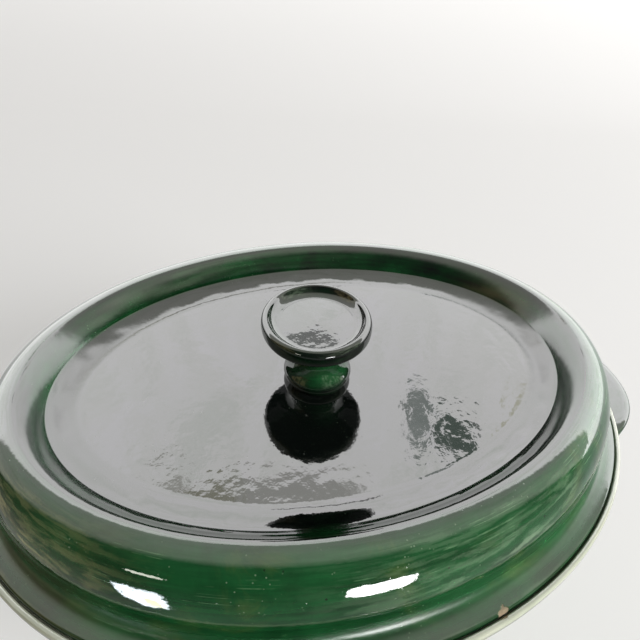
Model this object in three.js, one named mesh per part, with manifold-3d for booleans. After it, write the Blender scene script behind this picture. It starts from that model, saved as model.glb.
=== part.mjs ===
// Oval covered casserole: dish with a gallery rim and two end lugs, a lid with a sunken
// centre panel, and a spool knob standing on that panel.
// Millimetres. +Z is up, +X runs along the oval, the foot stands on z = 0.
import * as THREE from 'three';
import Module from 'manifold-3d';

// Every oval section has the half width r across (Y) and r + STRETCH along (X).
const STRETCH = 40.8;        // half length minus half width
const STRETCH_FULL_AT = 60;  // r from which the whole stretch applies
const SEGMENTS = 48;         // facets round each oval
const GAP = 0.3;             // left between pieces that touch on the real object

const LEDGE_Z = 98;          // ledge that the lid sits on
const RIM_TOP_Z = 102.4;     // bead round the dish
const RIM_R = 119;           // half width over the bead
const DISH_FLOOR_Z = 11.5;   // inside floor of the dish
const FOOT_R = [71, 77];     // foot ring, inner and outer half width

const LID_EDGE_R = 115.9;    // half width over the lid's flange
const PLUG_R = 107.2;        // locating ring that drops into the dish
const PLUG_Z = 90;
const CREST_R = 89.1;        // top of the raised ring
const CREST_Z = 141;
const SIDE_R = 106.4;        // half width at the bottom of the raised ring
const SIDE_Z = 106.5;
const WALL_FOOT = [78.9, 129.9];  // where the recess wall steepens
const PANEL_R = 66;          // sunken panel, up to where it begins to sweep up
const PANEL_EDGE_Z = 126.2;
const PANEL_Z = 125.4;       // middle of the panel, a little lower than its edge
const LID_WALL = 5.5;

const KNOB_R = 24.7;
const KNOB_SEGMENTS = 36;

const LUG_TOP_Z = 93;
const LUG_THICKNESS = 13;
const LUG_HALF_WIDTH = 46;
const LUG_TIP_X = 184;

// Corners [r, z, radius] joined by straight lines, each corner eased by a short curve.
function eased(corners, steps = 3) {
  const out = [];
  corners.forEach(([r, z, radius = 0], i) => {
    const here = new THREE.Vector2(r, z);
    if (!radius || i === 0 || i === corners.length - 1) {
      out.push(here);
      return;
    }
    const before = new THREE.Vector2(...corners[i - 1].slice(0, 2)).sub(here);
    const after = new THREE.Vector2(...corners[i + 1].slice(0, 2)).sub(here);
    const a = here.clone().add(before.setLength(Math.min(radius, before.length() * 0.49)));
    const b = here.clone().add(after.setLength(Math.min(radius, after.length() * 0.49)));
    const curve = new THREE.QuadraticBezierCurve(a, here, b);
    out.push(...curve.getPoints(steps));
  });
  return out;
}

function sweep(ends, steps) {
  const curve = new THREE.CubicBezierCurve(...ends.map(([r, z]) => new THREE.Vector2(r, z)));
  return curve.getPoints(steps).map((p) => [p.x, p.y]);
}

// Full rounded shoulder, level at its top (r0, z0) and upright at its foot (r1, z1).
function shoulder([r0, z0], [r1, z1], steps) {
  const fullness = 0.63;
  return sweep(
    [[r0, z0], [r0 + fullness * (r1 - r0), z0], [r1, z1 + fullness * (z0 - z1)], [r1, z1]],
    steps);
}

// Turns a half profile about Z. An oval one is then drawn out along X.
function turned(profile, segments, stretch) {
  const geometry = new THREE.LatheGeometry(profile, segments);
  geometry.rotateX(Math.PI / 2);
  geometry.rotateZ(Math.PI / 2);
  const p = geometry.attributes.position;
  for (let i = 0; i < p.count && stretch; i++) {
    const r = Math.hypot(p.getX(i), p.getY(i));
    if (r < 1e-6) continue;
    p.setX(i, p.getX(i) * (1 + (stretch * Math.min(1, r / STRETCH_FULL_AT)) / r));
  }
  return geometry;
}

const glaze = (color, roughness = 0.12) =>
  new THREE.MeshStandardMaterial({ color, roughness, metalness: 0 });

// Outside of the dish wall, from the foot up to the underside of the bead.
const wallCorners = (clear = 0) =>
  [[81, 5, 3], [93, 16, 12], [103.4, 38, 12], [109.6, 64, 12], [113.2, 88, 6], [RIM_R, 94.6, 3]]
    .map(([r, z, radius]) => [r + clear, z, radius]);

function dishProfile() {
  return eased([
    [0, 5],
    [FOOT_R[0] - 5, 5, 3],
    [FOOT_R[0], 0, 1],
    [FOOT_R[1], 0, 1.4],
    ...wallCorners(),
    [RIM_R, RIM_TOP_Z, 2.4],
    [LID_EDGE_R + 0.6, RIM_TOP_Z, 0.9],
    [LID_EDGE_R + 0.6, LEDGE_Z, 1.2],
    [PLUG_R + 0.8, LEDGE_Z, 1.2],
    [107, 82, 10],
    [102.4, 54, 16],
    [94.6, 28, 14],
    [82, DISH_FLOOR_Z, 14],
    [0, DISH_FLOOR_Z],
  ]);
}

function lidProfile() {
  const under = LEDGE_Z + GAP;
  const underCrest = CREST_Z - LID_WALL;
  const inside = shoulder([CREST_R, underCrest], [PLUG_R - 5, 106], 5);
  const outside = shoulder([CREST_R, CREST_Z], [SIDE_R, SIDE_Z], 9).reverse();
  const wall = sweep(
    [[CREST_R, CREST_Z], [CREST_R - 5.3, CREST_Z], [WALL_FOOT[0] + 2.8, WALL_FOOT[1] + 1.7],
      WALL_FOOT], 7);
  const cove = sweep(
    [WALL_FOOT, [WALL_FOOT[0] - 4, WALL_FOOT[1] - 2.4], [PANEL_R + 4, PANEL_EDGE_Z + 0.1],
      [PANEL_R, PANEL_EDGE_Z]], 4);
  const panel = [44, 22, 0].map((r) =>
    [r, PANEL_Z + (PANEL_EDGE_Z - PANEL_Z) * (r / PANEL_R) ** 2]);
  return eased([
    [0, PANEL_Z - LID_WALL],
    [PANEL_R + 11, PANEL_Z - LID_WALL, 6],
    [CREST_R - 2, underCrest - 0.4, 2],
    ...inside,
    [PLUG_R - 5, PLUG_Z, 1.6],
    [PLUG_R, PLUG_Z, 1.6],
    [PLUG_R, under, 0.6],
    [LID_EDGE_R - 1, under, 1],
    [LID_EDGE_R, under + 1.6, 1],
    [LID_EDGE_R, under + 4.9, 2.6],
    [SIDE_R + 4, 104.9, 3],
    [SIDE_R, SIDE_Z - 1, 3],
    ...outside,
    ...wall.slice(1),
    ...cove.slice(1),
    ...panel,
  ]);
}

function knobProfile() {
  const z = PANEL_Z + GAP;
  return eased([
    [0, z],
    [13.2, z, 0.5],
    [14.9, z + 4.6, 3.2],
    [12.1, z + 9.6, 4],
    [11.5, z + 15.4, 4],
    [13.8, z + 21.4, 4],
    [20.5, z + 25.4, 2],
    [KNOB_R, z + 27.6, 3.6],
    [KNOB_R, z + 34, 3.6],
    [21, z + 35.9, 2.6],
    [17.4, z + 34.4, 2],
    [16.6, z + 31.4, 1],
    [0, z + 31.4],
  ]);
}

function asSolid(wasm, geometry) {
  const p = geometry.attributes.position;
  const count = p.count;
  const triVerts = geometry.index
    ? Uint32Array.from(geometry.index.array)
    : Uint32Array.from({ length: count }, (_, i) => i);
  const mesh = new wasm.Mesh({ numProp: 3, vertProperties: Float32Array.from(p.array), triVerts });
  mesh.merge();
  return new wasm.Manifold(mesh);
}

function asGeometry(solid) {
  const mesh = solid.getMesh();
  const geometry = new THREE.BufferGeometry();
  geometry.setAttribute('position', new THREE.BufferAttribute(mesh.vertProperties, 3));
  geometry.setIndex(new THREE.BufferAttribute(mesh.triVerts, 1));
  return geometry;
}

// Half-moon ledge, cut to the dish wall with a small gap.
function lugGeometry(wasm, side) {
  const plan = new THREE.Shape();
  const root = 140;
  const bevel = 3.5;
  plan.moveTo(root, -LUG_HALF_WIDTH + bevel);
  const tip = LUG_TIP_X - bevel;
  plan.bezierCurveTo(LUG_TIP_X - 14, -LUG_HALF_WIDTH + bevel, tip, -26, tip, 0);
  plan.bezierCurveTo(tip, 26, LUG_TIP_X - 14, LUG_HALF_WIDTH - bevel, root, LUG_HALF_WIDTH - bevel);
  plan.closePath();
  const ledge = new THREE.ExtrudeGeometry(plan, {
    depth: LUG_THICKNESS - 2 * bevel, bevelEnabled: true, bevelSize: bevel,
    bevelThickness: bevel, bevelSegments: 4, curveSegments: 12,
  });
  ledge.translate(0, 0, LUG_TOP_Z - LUG_THICKNESS + bevel);
  const room = turned(
    eased([[0, -5], [78, -5], ...wallCorners(GAP), [RIM_R + GAP, RIM_TOP_Z], [0, RIM_TOP_Z]]),
    SEGMENTS, STRETCH);
  const lug = asSolid(wasm, ledge).subtract(asSolid(wasm, room));
  return asGeometry(side > 0 ? lug : lug.mirror([1, 0, 0]));
}

const wasm = await Module();
wasm.setup();

const pieces = {
  dish: [turned(dishProfile(), SEGMENTS, STRETCH), glaze(0x123f27)],
  lid: [turned(lidProfile(), SEGMENTS, STRETCH), glaze(0x14472b)],
  knob: [turned(knobProfile(), KNOB_SEGMENTS, 0), glaze(0x14472b)],
  lug_left: [lugGeometry(wasm, -1), glaze(0x123f27)],
  lug_right: [lugGeometry(wasm, 1), glaze(0x123f27)],
};

const casserole = new THREE.Group();
casserole.name = 'covered_casserole';
for (const [name, [geometry, material]] of Object.entries(pieces)) {
  const mesh = new THREE.Mesh(geometry, material);
  mesh.name = name;
  casserole.add(mesh);
}

export default casserole;
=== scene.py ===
"""Looks of the oval covered casserole: glazed stoneware dish, lid and knob on a pale sweep."""
import math

import bpy
from mathutils import Matrix, Vector, noise


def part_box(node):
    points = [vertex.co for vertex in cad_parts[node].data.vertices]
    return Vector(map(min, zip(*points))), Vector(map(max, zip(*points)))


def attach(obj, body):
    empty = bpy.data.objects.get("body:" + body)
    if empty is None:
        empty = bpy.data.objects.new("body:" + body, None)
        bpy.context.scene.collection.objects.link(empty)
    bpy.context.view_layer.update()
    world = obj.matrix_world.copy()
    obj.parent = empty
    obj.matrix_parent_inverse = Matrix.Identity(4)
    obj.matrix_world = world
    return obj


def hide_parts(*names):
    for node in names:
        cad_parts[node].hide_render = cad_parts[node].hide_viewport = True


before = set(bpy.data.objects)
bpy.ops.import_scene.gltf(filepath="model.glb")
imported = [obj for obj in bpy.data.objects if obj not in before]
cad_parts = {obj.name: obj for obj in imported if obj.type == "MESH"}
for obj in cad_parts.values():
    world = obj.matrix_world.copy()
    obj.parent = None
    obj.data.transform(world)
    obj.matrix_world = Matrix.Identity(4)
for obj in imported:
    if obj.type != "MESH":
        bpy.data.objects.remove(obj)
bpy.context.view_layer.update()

MM = 0.001


def box_mm(node):
    """Lowest and highest corner of a CAD node at rest, in mm."""
    low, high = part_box(node)
    return low / MM, high / MM


# ---------------------------------------------------------------- sizes, in mm
# The main ones come from the CAD model. Every oval section has the half width r across (Y)
# and r + STRETCH along (X).
_, dish_high = box_mm("dish")
lid_low, lid_high = box_mm("lid")
knob_low, knob_high = box_mm("knob")
lug_low, lug_high = box_mm("lug_right")

STRETCH = dish_high.x - dish_high.y
STRETCH_FULL_AT = 60        # r from which the whole stretch applies

RIM_R = dish_high.y         # over the bead round the dish
RIM_TOP_Z = dish_high.z
LEDGE_Z = 98                # ledge that the lid sits on
DISH_FLOOR_Z = 11.5         # inside floor of the dish
FOOT_R = (71, 77)           # foot ring, inner and outer
WALL_R = 113.005            # outside of the wall, at the height of the lugs

LID_EDGE_R = lid_high.y     # over the lid's flange
SEAT_Z = LEDGE_Z + 0.3      # underside of the flange
PLUG_R = 107.2              # locating ring that drops into the dish
PLUG_Z = lid_low.z          # its underside
LID_WALL = 5.5
SIDE = (106.4, 106.5)       # bottom of the raised ring's side
CREST = (89.1, lid_high.z)  # top of the raised ring
WALL_FOOT = (79.3, 129.9)   # where the recess wall steepens
PANEL_R = 66                # sunken panel, up to where it begins to sweep up
PANEL_EDGE_Z = 126.2
PANEL_Z = 125.4             # middle of the panel, a little lower than its edge
PANEL_DISH = 0.9            # how much further its middle sinks, only in the looks
RIPPLE = 0.22               # hand-made rise and fall of the lid's top
EDGE_WANDER = 0.3           # extra rise and fall where the panel meets the recess wall
EDGE_R = 75

KNOB_R = knob_high.y
KNOB_BASE_Z = knob_low.z - 1.9  # lower than in the CAD model, to meet the dished panel
KNOB_LEAN = 0.045           # mm sideways for each mm up

LUG_Z = (lug_low.z + lug_high.z) / 2
LUG_TIP_X = 184
LUG_SIDE_X = 141            # where a lug's outline begins, at both its ends
LUG_HALF_WIDTH = 46
LUG_EDGE = 0.4              # half thickness at those ends
LUG_SWELL = 6.1             # more half thickness away from them
LUG_SUNK = 2                # how far a lug's root goes into the dish wall
LUG_SECTIONS = 49           # sections along a lug
LUG_POINTS = 40             # points round each section

# ---------------------------------------------------------------- camera
# Held low over the near side of the lid, turned a little from the oval's axes. In metres.
TURN = math.radians(14.67)
PITCH = math.radians(40.7)
ROLL = math.radians(3.12)
CAMERA_AT = Vector((-0.0408, -0.1557, CREST[1] * MM + 0.1559))
FRAME_PX = 640
FOCAL_PX = 480          # focal length on that frame
SENSOR_MM = 36

back = Vector((math.sin(TURN), math.cos(TURN), 0))
right = Vector((math.cos(TURN), -math.sin(TURN), 0))
ahead = back * math.cos(PITCH) - Vector((0, 0, math.sin(PITCH)))
up = right.cross(ahead)
cam_x = right * math.cos(ROLL) + up * math.sin(ROLL)
cam_y = up * math.cos(ROLL) - right * math.sin(ROLL)
camera = bpy.data.objects.new("camera", bpy.data.cameras.new("camera"))
bpy.context.collection.objects.link(camera)
camera.matrix_world = Matrix.Translation(CAMERA_AT) @ Matrix(
    (cam_x, cam_y, -ahead)).transposed().to_4x4()
camera.data.sensor_width = SENSOR_MM
camera.data.lens = SENSOR_MM * FOCAL_PX / FRAME_PX
camera.data.clip_start = 0.01
bpy.context.scene.camera = camera

# ---------------------------------------------------------------- shapes, in mm


def eased(corners, steps=8):
    """Corners (r, z, radius) joined by lines, each corner eased by a quadratic curve."""
    out = []
    for i, corner in enumerate(corners):
        here = Vector(corner[:2])
        radius = corner[2] if len(corner) > 2 else 0
        if not radius or i in (0, len(corners) - 1):
            out.append(here)
            continue
        before = Vector(corners[i - 1][:2]) - here
        after = Vector(corners[i + 1][:2]) - here
        a = here + before.normalized() * min(radius, before.length * 0.49)
        b = here + after.normalized() * min(radius, after.length * 0.49)
        for k in range(steps + 1):
            t = k / steps
            out.append(a * (1 - t) ** 2 + here * 2 * t * (1 - t) + b * t * t)
    return out


def sweep(controls, steps=32):
    """Points along the cubic curve that four control points give."""
    out = []
    for i in range(steps + 1):
        t = i / steps
        weights = ((1 - t) ** 3, 3 * t * (1 - t) ** 2, 3 * t * t * (1 - t), t ** 3)
        out.append(tuple(sum(w * c[axis] for w, c in zip(weights, controls)) for axis in (0, 1)))
    return out


def shoulder(top, foot, steps=32):
    """Full rounded shoulder, level at its top and upright at its foot."""
    fullness = 0.63
    (r0, z0), (r1, z1) = top, foot
    return sweep([(r0, z0), (r0 + fullness * (r1 - r0), z0),
                  (r1, z1 + fullness * (z0 - z1)), (r1, z1)], steps)


def spread(points, longest):
    """Splits long stretches of a profile so that no step is longer than `longest`."""
    out = [points[0]]
    for a, b in zip(points, points[1:]):
        n = max(1, math.ceil((b - a).length / longest))
        out += [a.lerp(b, k / n) for k in range(1, n + 1)]
    return out


def lathe(name, profile, segments, stretch=0.0, shape=None, tags=None):
    """Turns a half profile about Z and draws it out along X.

    shape(v, r, facing) returns a small offset for a point. tags maps an attribute's name to
    a function of the point, its r and the profile's outward normal there. The length along
    the profile is kept as the attribute "run".
    """
    verts, faces, rings = [], [], []
    tagged = {key: [] for key in ["run", *(tags or {})]}
    run = 0.0
    for i, (r, z) in enumerate(profile):
        step = profile[min(i + 1, len(profile) - 1)] - profile[max(i - 1, 0)]
        facing = Vector((step.y, -step.x)).normalized()
        run += (profile[i] - profile[i - 1]).length if i else 0
        ring = []
        for k in range(segments if r > 1e-6 else 1):
            a = 2 * math.pi * k / segments
            x = r + stretch * min(1, r / STRETCH_FULL_AT)
            v = Vector((x * math.cos(a), r * math.sin(a), z))
            ring.append(len(verts))
            tagged["run"].append(run)
            for key, function in (tags or {}).items():
                tagged[key].append(function(v, r, facing))
            verts.append((v + shape(v, r, facing) if shape else v) * MM)
        rings.append(ring)
    for low, high in zip(rings, rings[1:]):
        for k in range(segments):
            j = (k + 1) % segments
            quad = [low[k % len(low)], low[j % len(low)], high[j % len(high)], high[k % len(high)]]
            quad = list(dict.fromkeys(quad))
            if len(quad) > 2:
                faces.append(quad)
    return solid(name, verts, faces, tagged)


def solid(name, verts, faces, tagged):
    mesh = bpy.data.meshes.new(name)
    mesh.from_pydata(verts, [], faces)
    for key, values in tagged.items():
        mesh.attributes.new(key, "FLOAT", "POINT").data.foreach_set("value", values)
    mesh.shade_smooth()
    piece = bpy.data.objects.new(name, mesh)
    bpy.context.collection.objects.link(piece)
    return piece


dish_profile = eased([
    # foot ring
    (0, 5), (FOOT_R[0] - 5, 5, 3), (FOOT_R[0], 0, 1), (FOOT_R[1], 0, 1.4),
    # outside
    (81, 5, 3), (93, 16, 12), (103.4, 38, 12), (109.6, 64, 12), (113.2, 88, 6),
    # bead and ledge
    (RIM_R, RIM_TOP_Z - 7.8, 3), (RIM_R, RIM_TOP_Z, 2.4), (LID_EDGE_R + 0.6, RIM_TOP_Z, 0.9),
    (LID_EDGE_R + 0.6, LEDGE_Z, 1.2), (PLUG_R + 0.8, LEDGE_Z, 1.2),
    # inside
    (107, 82, 10), (102.4, 54, 16), (94.6, 28, 14), (82, DISH_FLOOR_Z, 14), (0, DISH_FLOOR_Z)])
panel_profile = [
    (r, PANEL_Z + (PANEL_EDGE_Z - PANEL_Z) * (r / PANEL_R) ** 2)
    for r in (*range(62, 7, -6), 3, 0)]
lid_profile = eased([
    # underside
    (0, PANEL_Z - LID_WALL), (PANEL_R + 11, PANEL_Z - LID_WALL, 6),
    (CREST[0] - 2, CREST[1] - LID_WALL - 0.4, 2),
    *shoulder((CREST[0], CREST[1] - LID_WALL), (PLUG_R - 5, 106), 20),
    # locating ring
    (PLUG_R - 5, PLUG_Z, 1.6), (PLUG_R, PLUG_Z, 1.6), (PLUG_R, SEAT_Z, 0.6),
    # flange
    (LID_EDGE_R - 1, SEAT_Z, 1), (LID_EDGE_R, SEAT_Z + 1.6, 1), (LID_EDGE_R, SEAT_Z + 4.9, 2.6),
    *sweep([(113.4, 104), (108.6, 104.8), (106.7, 106.4), (106.3, 112)], 12),
    # raised ring and panel
    *reversed(shoulder(CREST, SIDE)[:-6]),
    *sweep([CREST, (CREST[0] - 3.1, CREST[1]), (81.5, 134.5), WALL_FOOT])[1:],
    *sweep([WALL_FOOT, (76, 128), (71, 126.33), (PANEL_R, PANEL_EDGE_Z)])[1:],
    *panel_profile])
knob_profile = eased([(r, KNOB_BASE_Z + rise, *radius) for r, rise, *radius in (
    # foot and waist
    (0, 0), (14.6, 0, 0.5), (16.6, 5, 2.2), (13, 10, 6), (9.9, 17.4, 5), (13.2, 23.3, 4),
    # head
    (20.5, 27.3, 2), (KNOB_R, 29.5, 3.6), (KNOB_R, 35.9, 2.6), (22.2, 37.9, 1.6),
    # dished top
    (20.3, 34.4, 2), (17.8, 33.1, 1.2), (0, 33.3))])


def smooth(lo, hi, x):
    """0 at lo and 1 at hi, with an eased slope between; lo may be above hi."""
    t = min(1, max(0, (x - lo) / (hi - lo)))
    return t * t * (3 - 2 * t)


# The glaze is thick and nearly black where it lay flat, and thin and clear green on slopes.
# From a point v, its r and the profile's normal there, each of these gives 0 to 1.
def lid_thin(v, r, facing):
    """Thin on the recess wall, and thinner over the shoulder and the flange."""
    if r < 88:
        return 0.36 * smooth(0.3, 0.9, abs(facing.x))
    if v.z < 108:
        return 0.42 + 0.3 * smooth(104.5, 108, v.z)
    return 0.4 + 0.3 * smooth(0.0, 0.3, facing.x)


def knob_thin(v, r, facing):
    """Thinner round the stem."""
    stem = smooth(17, 13.5, r) * smooth(128, 133, v.z) * smooth(152, 149, v.z)
    return 0.12 + 0.3 * stem


def dish_thin(v, r, facing):
    """Thinner on the upright walls."""
    return 0.15 + 0.55 * smooth(0.2, 0.95, abs(facing.x))


def lid_bare(v, r, facing):
    """The seat under the flange, and the bottom of the locating ring."""
    return smooth(-0.5, -0.9, facing.y) * smooth(100, 102.5, r)


def dish_bare(v, r, facing):
    """The bottom of the foot ring."""
    return smooth(3.2, 1.6, v.z)


def dish_cream(v, r, facing):
    """The inside, the ledge and the bead round the rim."""
    inside = max(smooth(-0.02, -0.2, facing.x), smooth(0.5, 0.8, facing.y))
    return max(inside * smooth(8, 11, v.z), smooth(95.5, 97.5, v.z))


def lid_matt(v, r, facing):
    """Duller glaze round the foot of the raised ring, and at the ends and back of the recess."""
    recess = smooth(123, 125, v.z)
    hollow = smooth(103.6, 104.6, v.z) * smooth(115, 109, v.z) * smooth(104.5, 106.2, r)
    ends = smooth(60, 105, abs(v.x)) * smooth(64, 70, r) * smooth(90, 84, r) * recess
    wall = smooth(77, 80, r) * smooth(89.5, 87, r) * smooth(10, 50, v.y) * recess
    return max(hollow, 0.5 * ends, 0.35 * wall)


def lid_shape(v, r, facing):
    """Hand-made unevenness: the panel is slightly dished and rippled, its edge wanders."""
    if v.z < 107 or facing.y <= -0.1:
        return Vector((0, 0, 0))
    ripple = noise.noise(v * 0.022) * RIPPLE
    sunk = 0
    if v.z > 124 and facing.y > 0:
        inset = 1 - (r / PANEL_R) ** 2
        sunk = -PANEL_DISH / 2 * (inset + math.sqrt(inset ** 2 + 0.006))
    edge = math.exp(-((r - EDGE_R) / 3.5) ** 2)
    wander = noise.noise(Vector((v.x * 0.11, v.y * 0.11, 3.1))) * EDGE_WANDER * edge
    return Vector((0, 0, ripple + sunk + wander))


def knob_shape(v, r, facing):
    """The knob leans a touch towards the left of the front."""
    lean = KNOB_LEAN * (v.z - knob_low.z)
    return Vector((-right.x * lean, -right.y * lean, 0))


def wall_x(y):
    """Outside of the dish wall at one end, for a point y across."""
    return (WALL_R + STRETCH) * math.sqrt(1 - (y / WALL_R) ** 2)


def lug(name, side):
    """Half-moon ledge with a rounded edge, slightly hollow above and more so below."""
    verts, faces, thin_at = [], [], []
    sections, around = LUG_SECTIONS, LUG_POINTS
    for i in range(sections):
        s = math.sin(math.pi / 2 * (2 * i / (sections - 1) - 1))
        y = LUG_HALF_WIDTH * s
        root = wall_x(y) - LUG_SUNK
        tip = LUG_SIDE_X + (LUG_TIP_X - LUG_SIDE_X) * (1 - abs(s) ** 2.4) ** 0.6
        half = LUG_EDGE + LUG_SWELL * (1 - abs(s) ** 7) ** 0.5
        length = max(2.5, tip - root)
        for k in range(around):
            a = 2 * math.pi * k / around - math.pi
            c, d = math.cos(a), math.sin(a)
            x = root + length * (0.5 + 0.5 * math.copysign(abs(c) ** 0.35, c))
            z = LUG_Z + half * math.copysign(abs(d) ** 0.5, d)
            hollow = math.exp(-(((x - root) / length - 0.55) / 0.22) ** 2) * (1 - s * s)
            z += 1.6 * hollow if d < 0 else -0.5 * hollow
            verts.append(Vector((side * x, side * y, z)) * MM)
            thin_at.append(0.2 + 0.6 * smooth(0.55, 0.95, c) * smooth(1, 0.2, abs(d)))
    for i in range(sections - 1):
        for k in range(around):
            j = (k + 1) % around
            faces.append([i * around + k, i * around + j, (i + 1) * around + j,
                          (i + 1) * around + k][::-1])
    faces.append(list(range(around)))
    faces.append([(sections - 1) * around + k for k in reversed(range(around))])
    return solid(name, verts, faces, {"thin": thin_at})


dish = lathe("dish_body", spread(dish_profile, 2.5), 240, STRETCH, tags={
    "thin": dish_thin, "bare": dish_bare, "cream": dish_cream})
lid = lathe("lid_shell", spread(lid_profile, 1.6), 240, STRETCH, lid_shape, {
    "thin": lid_thin, "bare": lid_bare, "matt": lid_matt})
knob = lathe("lid_knob", spread(knob_profile, 0.8), 144, 0.0, knob_shape, {"thin": knob_thin})
handles = [lug("left_handle", -1), lug("right_handle", 1)]
for piece, node, body, slot in (
        (dish, "dish", "dish", "dish_glaze"), (lid, "lid", "lid", "lid_glaze"),
        (knob, "knob", "lid", "lid_glaze"), (handles[0], "lug_left", "dish", "dish_glaze"),
        (handles[1], "lug_right", "dish", "dish_glaze")):
    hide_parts(node)
    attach(piece, body)


# ---------------------------------------------------------------- materials


class Graph:
    """Short names for building a node tree."""

    def __init__(self, tree):
        self.tree = tree

    def node(self, kind, **values):
        n = self.tree.nodes.new(kind)
        for key, value in values.items():
            setattr(n, key, value)
        return n

    def put(self, value, socket):
        """Links another node's output, or sets a plain value."""
        if isinstance(value, bpy.types.NodeSocket):
            self.tree.links.new(value, socket)
        elif value is not None:
            socket.default_value = value

    def math(self, operation, a, b=None, clamp=False):
        n = self.node("ShaderNodeMath", operation=operation, use_clamp=clamp)
        self.put(a, n.inputs[0])
        self.put(b, n.inputs[1])
        return n.outputs[0]

    def swing(self, value, amount):
        """A noise of 0 to 1 as an offset of up to half the amount either way."""
        return self.math("MULTIPLY", self.math("SUBTRACT", value, 0.5), amount)

    def tag(self, key):
        return self.node("ShaderNodeAttribute", attribute_name=key).outputs["Fac"]

    def remap(self, value, lo, hi, out_lo=0.0, out_hi=1.0):
        """Eases from out_lo at lo to out_hi at hi."""
        n = self.node("ShaderNodeMapRange", interpolation_type="SMOOTHSTEP")
        for v, name in ((value, "Value"), (lo, "From Min"), (hi, "From Max"),
                        (out_lo, "To Min"), (out_hi, "To Max")):
            self.put(v, n.inputs[name])
        return n.outputs["Result"]

    def noise(self, vector, scale, detail=2.0, rough=0.5, distortion=0.0):
        n = self.node("ShaderNodeTexNoise")
        self.put(vector, n.inputs["Vector"])
        for name, v in (("Scale", scale), ("Detail", detail), ("Roughness", rough),
                        ("Distortion", distortion)):
            self.put(v, n.inputs[name])
        return n.outputs["Fac"]

    def spots(self, vector, scale, low, high):
        """1 in small round spots, fading to 0 between the distances low and high."""
        n = self.node("ShaderNodeTexVoronoi", feature="F1")
        self.put(vector, n.inputs["Vector"])
        self.put(scale, n.inputs["Scale"])
        return self.remap(n.outputs["Distance"], low, high, 1.0, 0.0)

    def blend(self, fac, a, b):
        n = self.node("ShaderNodeMix", data_type="RGBA")
        self.put(fac, n.inputs["Factor"])
        self.put(a, n.inputs["A"])
        self.put(b, n.inputs["B"])
        return n.outputs["Result"]

    def ramp(self, fac, stops):
        n = self.node("ShaderNodeValToRGB")
        band = n.color_ramp
        while len(band.elements) < len(stops):
            band.elements.new(0.5)
        for element, (position, colour) in zip(band.elements, stops):
            element.position = position
            element.color = colour if len(colour) == 4 else (*colour, 1)
        self.put(fac, n.inputs["Fac"])
        return n.outputs["Color"]


CHIP_AT = (0.0469, -0.1105, 0.1030)  # bare chip at the edge of the lid's flange, in metres
PEEL_HEIGHT = 0.00013                # orange peel, in metres
GLAZE_IOR = 1.62
POOLED = (0.0035, 0.0050, 0.0042)    # thick glaze
CLEAR = (0.010, 0.088, 0.024)        # thin glaze
OLIVE = (0.075, 0.120, 0.030, 1)
PALE_THREAD = (0.16, 0.30, 0.15, 1)
PINHOLE = (0.30, 0.40, 0.26, 1)
SOOT = (0.006, 0.008, 0.005, 1)
CREAM = [(0.3, (0.47, 0.49, 0.38)), (0.7, (0.58, 0.59, 0.47))]
CLAY = [(0.3, (0.20, 0.155, 0.10)), (0.7, (0.36, 0.28, 0.19))]


def glaze_depth(g, place, thin_at):
    """0 where the glaze pooled dark, 1 where it ran thin, clouded and streaked level."""
    cloud = g.noise(place, 38, 4.0, 0.6, 0.6)
    fine = g.noise(place, 420, 2.0, 0.6)
    level = g.node("ShaderNodeVectorMath", operation="MULTIPLY")
    g.put(place, level.inputs[0])
    level.inputs[1].default_value = (0.1, 0.1, 1.8)
    streaks = g.noise(level.outputs["Vector"], 150, 4.0, 0.65, 0.3)
    depth = g.math("ADD", thin_at, g.swing(cloud, 1.0))
    depth = g.math("ADD", depth, g.swing(streaks, 1.2))
    depth = g.math("ADD", depth, g.swing(fine, 0.18), clamp=True)
    return g.math("MULTIPLY", depth, g.remap(thin_at, 0.0, 0.3, 0.25, 1.0))


def glaze_threads(g, place, thin_at):
    """Pale threads that run round the piece, broken into short arcs."""
    rings = g.node("ShaderNodeTexNoise", noise_dimensions="1D")
    g.put(g.tag("run"), rings.inputs["W"])
    rings.inputs["Scale"].default_value = 1.1
    threads = g.math("MULTIPLY", g.remap(rings.outputs["Fac"], 0.60, 0.68),
                     g.remap(g.noise(place, 55, 3.0, 0.7), 0.53, 0.66))
    return g.math("MULTIPLY", threads, g.remap(thin_at, 0.35, 0.65, 0.0, 0.4))


def glaze_pits(g, place, thin_at):
    """Small pale pinholes in loose groups."""
    pits = g.math("MULTIPLY", g.spots(place, 480, 0.10, 0.17),
                  g.remap(g.noise(place, 80, 1.0), 0.56, 0.66))
    return g.math("MULTIPLY", pits, g.remap(thin_at, 0.3, 0.7, 0.1, 0.4))


def chip_and_bare(g, place):
    """1 on bare clay: where no glaze was put, and in one ragged chip."""
    away = g.node("ShaderNodeVectorMath", operation="DISTANCE")
    g.put(place, away.inputs[0])
    away.inputs[1].default_value = CHIP_AT
    ragged_edge = g.swing(g.noise(place, 260, 3.0, 0.7), 0.006)
    chip = g.remap(g.math("ADD", away.outputs["Value"], ragged_edge), 0.0012, 0.0022, 1.0, 0.0)
    return g.math("MAXIMUM", g.tag("bare"), chip)


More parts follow.
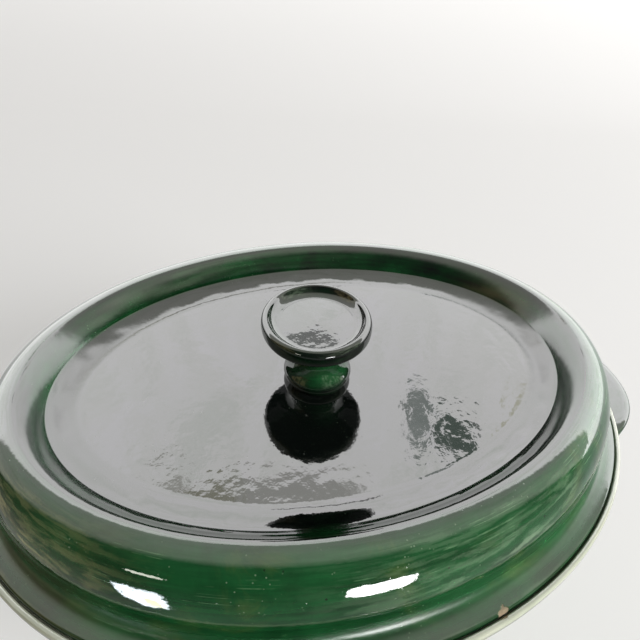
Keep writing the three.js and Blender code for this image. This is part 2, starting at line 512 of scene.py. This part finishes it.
def glaze_colour(g, place, thin_at, threads, pits, bare, pooled, clear):
    middling = tuple(0.3 * c for c in clear)
    colour = g.ramp(glaze_depth(g, place, thin_at), [(0.0, pooled), (0.35, middling), (1.0, clear)])
    olive = g.math("MULTIPLY", g.remap(g.noise(place, 24, 5.0, 0.65, 1.2), 0.5, 0.68),
                   g.remap(thin_at, 0.35, 0.65, 0.0, 0.45))
    colour = g.blend(olive, colour, OLIVE)
    colour = g.blend(threads, colour, PALE_THREAD)
    colour = g.blend(pits, colour, PINHOLE)
    soot = g.math("MULTIPLY", g.spots(place, 150, 0.05, 0.09),
                  g.remap(g.noise(place, 30, 1.0), 0.5, 0.6))
    colour = g.blend(g.math("MULTIPLY", soot, 0.85), colour, SOOT)
    cream = g.ramp(g.noise(place, 60, 3.0), CREAM)
    colour = g.blend(g.tag("cream"), colour, cream)
    clay = g.ramp(g.noise(place, 300, 3.0), CLAY)
    return g.blend(bare, colour, clay)


def glaze(name, pooled, clear):
    """Glossy green glaze over stoneware: depth from thickness, orange peel, specks, wear."""
    material = bpy.data.materials.new(name)
    material.use_nodes = True
    g = Graph(material.node_tree)
    shader = material.node_tree.nodes["Principled BSDF"]
    place = g.node("ShaderNodeTexCoord").outputs["Object"]
    thin_at = g.tag("thin")
    threads = glaze_threads(g, place, thin_at)
    pits = glaze_pits(g, place, thin_at)
    bare = chip_and_bare(g, place)
    g.put(glaze_colour(g, place, thin_at, threads, pits, bare, pooled, clear),
          shader.inputs["Base Color"])

    smear = g.noise(place, 28, 4.0, 0.6, 0.4)
    rough = g.remap(smear, 0.45, 0.75, 0.03, 0.075)
    rough = g.math("ADD", rough, g.math("MULTIPLY", g.tag("matt"), 0.3))
    rough = g.math("ADD", rough, g.math("MULTIPLY", threads, 0.25))
    rough = g.math("ADD", rough, g.math("MULTIPLY", bare, 0.7), clamp=True)
    g.put(rough, shader.inputs["Roughness"])
    shader.inputs["IOR"].default_value = GLAZE_IOR

    peel = g.math("ADD", g.math("MULTIPLY", g.noise(place, 300, 2.0, 0.5), 0.25),
                  g.math("MULTIPLY", g.noise(place, 80, 2.0, 0.5), 0.9))
    dents = g.math("ADD", pits, g.math("MULTIPLY", bare, 3.0))
    peel = g.math("ADD", peel, g.math("MULTIPLY", dents, -0.5))
    bump = g.node("ShaderNodeBump")
    bump.inputs["Strength"].default_value = 1.0
    bump.inputs["Distance"].default_value = PEEL_HEIGHT
    g.put(peel, bump.inputs["Height"])
    g.put(bump.outputs["Normal"], shader.inputs["Normal"])
    return material


green = glaze("green_glaze", POOLED, CLEAR)
for piece in (dish, lid, knob, *handles):
    piece.data.materials.append(green)

# ---------------------------------------------------------------- stage, in metres
# A pale sheet that rises behind the object. Gloss looks through it at the studio round it.
SHEET_HALF_WIDTH = 6.0
SHEET_NEAR = -2.0     # front edge
SHEET_FAR = 0.75      # where it begins to bend up
SHEET_BEND = 0.4      # radius of the bend
SHEET_HEIGHT = 0.8
BEND_STEPS = 16


def sheet_mesh():
    outline = [(SHEET_NEAR, 0.0)]
    for i in range(BEND_STEPS + 1):
        a = math.pi / 2 * i / BEND_STEPS
        outline.append((SHEET_FAR + SHEET_BEND * math.sin(a),
                        SHEET_BEND - SHEET_BEND * math.cos(a)))
    outline.append((SHEET_FAR + SHEET_BEND, SHEET_HEIGHT))
    verts = [back * y + right * x + Vector((0, 0, z))
             for y, z in outline for x in (-SHEET_HALF_WIDTH, SHEET_HALF_WIDTH)]
    faces = [(2 * i, 2 * i + 1, 2 * i + 3, 2 * i + 2) for i in range(len(outline) - 1)]
    mesh = bpy.data.meshes.new("sweep")
    mesh.from_pydata(verts, [], faces)
    mesh.shade_smooth()
    return mesh


def paper():
    """Matt off-white with painted light: it glows a little, more so as it rises, in place of light
    falling on it.
    """
    material = bpy.data.materials.new("paper")
    material.use_nodes = True
    g = Graph(material.node_tree)
    shader = material.node_tree.nodes["Principled BSDF"]
    shader.inputs["Base Color"].default_value = (0.46, 0.455, 0.45, 1)
    shader.inputs["Roughness"].default_value = 0.9
    shader.inputs["Specular IOR Level"].default_value = 0
    shader.inputs["Emission Color"].default_value = (1, 0.985, 0.955, 1)
    rise = g.node("ShaderNodeSeparateXYZ")
    g.put(g.node("ShaderNodeTexCoord").outputs["Object"], rise.inputs[0])
    # Painted light: the glow grows with height, standing in for a backdrop lit more brightly higher
    # up.
    g.put(g.remap(rise.outputs["Z"], 0.0, 0.5, 0.46, 0.72), shader.inputs["Emission Strength"])
    return material


floor = bpy.data.objects.new("sweep", sheet_mesh())
bpy.context.collection.objects.link(floor)
floor.visible_glossy = False
floor.data.materials.append(paper())

# ---------------------------------------------------------------- light
KEY_AT = right * 2.1 - back * 0.9 + Vector((0, 0, 1.0))
KEY_SIZE = 1.5
KEY_WATTS = 82

key = bpy.data.objects.new("key", bpy.data.lights.new("key", "AREA"))
bpy.context.collection.objects.link(key)
key.location = KEY_AT
key.rotation_euler = KEY_AT.to_track_quat("Z", "Y").to_euler()
key.data.shape = "DISK"
key.data.size = KEY_SIZE
key.data.energy = KEY_WATTS
key.visible_glossy = False

# Gloss sees a bright ceiling cloth over the back half of the room, a dim near half with two
# windows low on it, and a few darker things hung in the cloth. All else gets an even dome.
GLOSS_STRENGTH = 8      # of the world for gloss; grey() is given in units of the world at 1


def grey(v, tint=(1, 1, 1)):
    return tuple(v * c / GLOSS_STRENGTH for c in tint)


# Brightness round the room in degrees: 0 is level at the front, 90 straight down, 180 level
# at the back and 270 overhead.
CLOTH = [
    (0, grey(0.04)), (90, grey(0.3)), (150, grey(1.0)), (178, grey(2.0)), (182, grey(4.2)),
    (205, grey(5.6)), (243, grey(7.1)), (246.5, grey(1.9, (1, 1.02, 0.95))),
    (274, grey(1.6, (1, 1.02, 0.92))), (296, grey(1.4, (1, 1.02, 0.9))), (311, grey(0.07)),
    (359, grey(0.04))]
# Side it hangs at, bearing and half width, elevation and half height (in degrees), softness
# and raggedness of its edge, and colour.
HUNG = [
    ("back", -15, 9, 55.0, 1.3, 0.8, 2.2, grey(2.4, (1, 0.99, 0.8))),
    ("back", -4, 11, 54.9, 1.4, 0.95, 2.2, grey(3.3, (1, 1, 0.95))),
    ("back", -26, 4, 53.0, 0.8, 0.95, 2.2, grey(3.6, (1, 1, 0.93))),
    ("back", 21.5, 2.8, 47.8, 1.2, 0.8, 2.4, grey(0.9, (0.9, 1.15, 1))),
    ("back", 15.8, 1.6, 47.9, 2.0, 0.9, 3.0, grey(2.2, (0.95, 1.05, 1))),
    ("back", 29.0, 2.0, 45.6, 2.2, 0.95, 1.8, grey(4.6, (1, 1, 0.82))),
    ("back", -1.0, 5.5, 44.2, 0.8, 0.5, 1.0, grey(1.8)),
    ("front", 28, 8.5, -19, 8.5, 0.3, 0.9, grey(30)),
    ("front", -33, 6.5, -35, 9, 0.9, 5.0, grey(17, (0.84, 0.92, 1))),
    ("front", -31.5, 2.4, -40, 4, 0.95, 4.0, grey(12, (1, 0.95, 0.55))),
    ("front", -29, 5, 1, 2.0, 0.5, 3.6, grey(10, (1, 1, 0.88)))]

scene = bpy.context.scene
scene.view_settings.view_transform = "Standard"
world = bpy.data.worlds.new("studio")
scene.world = world
world.use_nodes = True
g = Graph(world.node_tree)
background = world.node_tree.nodes["Background"]
way = g.node("ShaderNodeTexCoord").outputs["Generated"]    # the way a ray goes


def along(axis):
    n = g.node("ShaderNodeVectorMath", operation="DOT_PRODUCT")
    g.put(way, n.inputs[0])
    n.inputs[1].default_value = axis
    return n.outputs["Value"]


def degrees(radians):
    return g.math("MULTIPLY", radians, 180 / math.pi)


to_right, to_back, to_up = along(right), along(back), along((0, 0, 1))
elevation = degrees(g.math("ARCSINE", to_up))
bearings = {
    "back": degrees(g.math("ARCTAN2", to_right, to_back)),
    "front": degrees(g.math("ARCTAN2", to_right, g.math("MULTIPLY", to_back, -1)))}
over = degrees(g.math("ARCTAN2", to_up, to_back))    # 0 level at the back, 90 overhead
ragged = g.math("SUBTRACT", g.noise(way, 22, 4.0, 0.6), 0.5)


def patch(bearing, middle, half, rise_middle, rise_half, soft, rough):
    """1 inside a rounded window of the sky, 0 outside."""
    across = g.math("DIVIDE", g.math("SUBTRACT", bearing, middle), half)
    tall = g.math("DIVIDE", g.math("SUBTRACT", elevation, rise_middle), rise_half)
    far_out = g.math("ADD", g.math("POWER", g.math("ABSOLUTE", across), 4.0),
                     g.math("POWER", g.math("ABSOLUTE", tall), 4.0))
    far_out = g.math("ADD", far_out, g.math("MULTIPLY", ragged, rough))
    return g.remap(far_out, 1 - soft, 1 + soft, 1.0, 0.0)


def hung_cloth():
    """The cloth with soft lighter and darker folds. Its turn begins 180 degrees before `over`."""
    bands = g.ramp(g.math("DIVIDE", g.math("ADD", over, 180), 360),
                   [(turn / 360, colour) for turn, colour in CLOTH])
    folds = g.ramp(g.noise(way, 9, 5.0, 0.65, 1.0), [
        (0.34, (0.83, 0.86, 0.82)), (0.5, (0.98, 0.98, 0.97)), (0.66, (1.04, 1.03, 1.06))])
    drape = g.node("ShaderNodeVectorMath", operation="MULTIPLY")
    g.put(bands, drape.inputs[0])
    g.put(folds, drape.inputs[1])
    return drape.outputs["Vector"]


near_half = g.remap(to_back, -0.1, 0.1, 1.0, 0.0)
clutter = g.remap(g.noise(way, 5.5, 4.0, 0.6, 0.5), 0.42, 0.62, 0.25, 1.7)


def side(lo, hi, amount):
    """Dim broken light at one side of the near half."""
    level = g.remap(to_right, lo, hi, 0.0, amount)
    return g.math("MULTIPLY", g.math("MULTIPLY", level, near_half), clutter)


at_right = g.blend(side(-0.05, 0.8, 0.09), (0, 0, 0, 1), (0.78, 1, 0.68, 1))
at_sides = g.blend(side(-0.35, -0.8, 0.05), at_right, (1, 0.85, 0.4, 1))
both = g.node("ShaderNodeMix", data_type="RGBA", blend_type="ADD")
both.inputs["Factor"].default_value = 1
g.put(hung_cloth(), both.inputs["A"])
g.put(at_sides, both.inputs["B"])
sky = both.outputs["Result"]
for facing_side, *where, colour in HUNG:
    sky = g.blend(patch(bearings[facing_side], *where), sky, (*colour, 1))
path = g.node("ShaderNodeLightPath")
dome = g.blend(g.remap(to_up, -0.15, 0.1), (0.05, 0.05, 0.05, 1), (0.15, 0.152, 0.156, 1))
dome = g.blend(path.outputs["Is Camera Ray"], dome, (0.8, 0.79, 0.77, 1))
gloss = path.outputs["Is Glossy Ray"]
g.put(g.blend(gloss, dome, sky), background.inputs["Color"])
g.put(g.math("ADD", g.math("MULTIPLY", gloss, GLOSS_STRENGTH - 1), 1.0),
      background.inputs["Strength"])
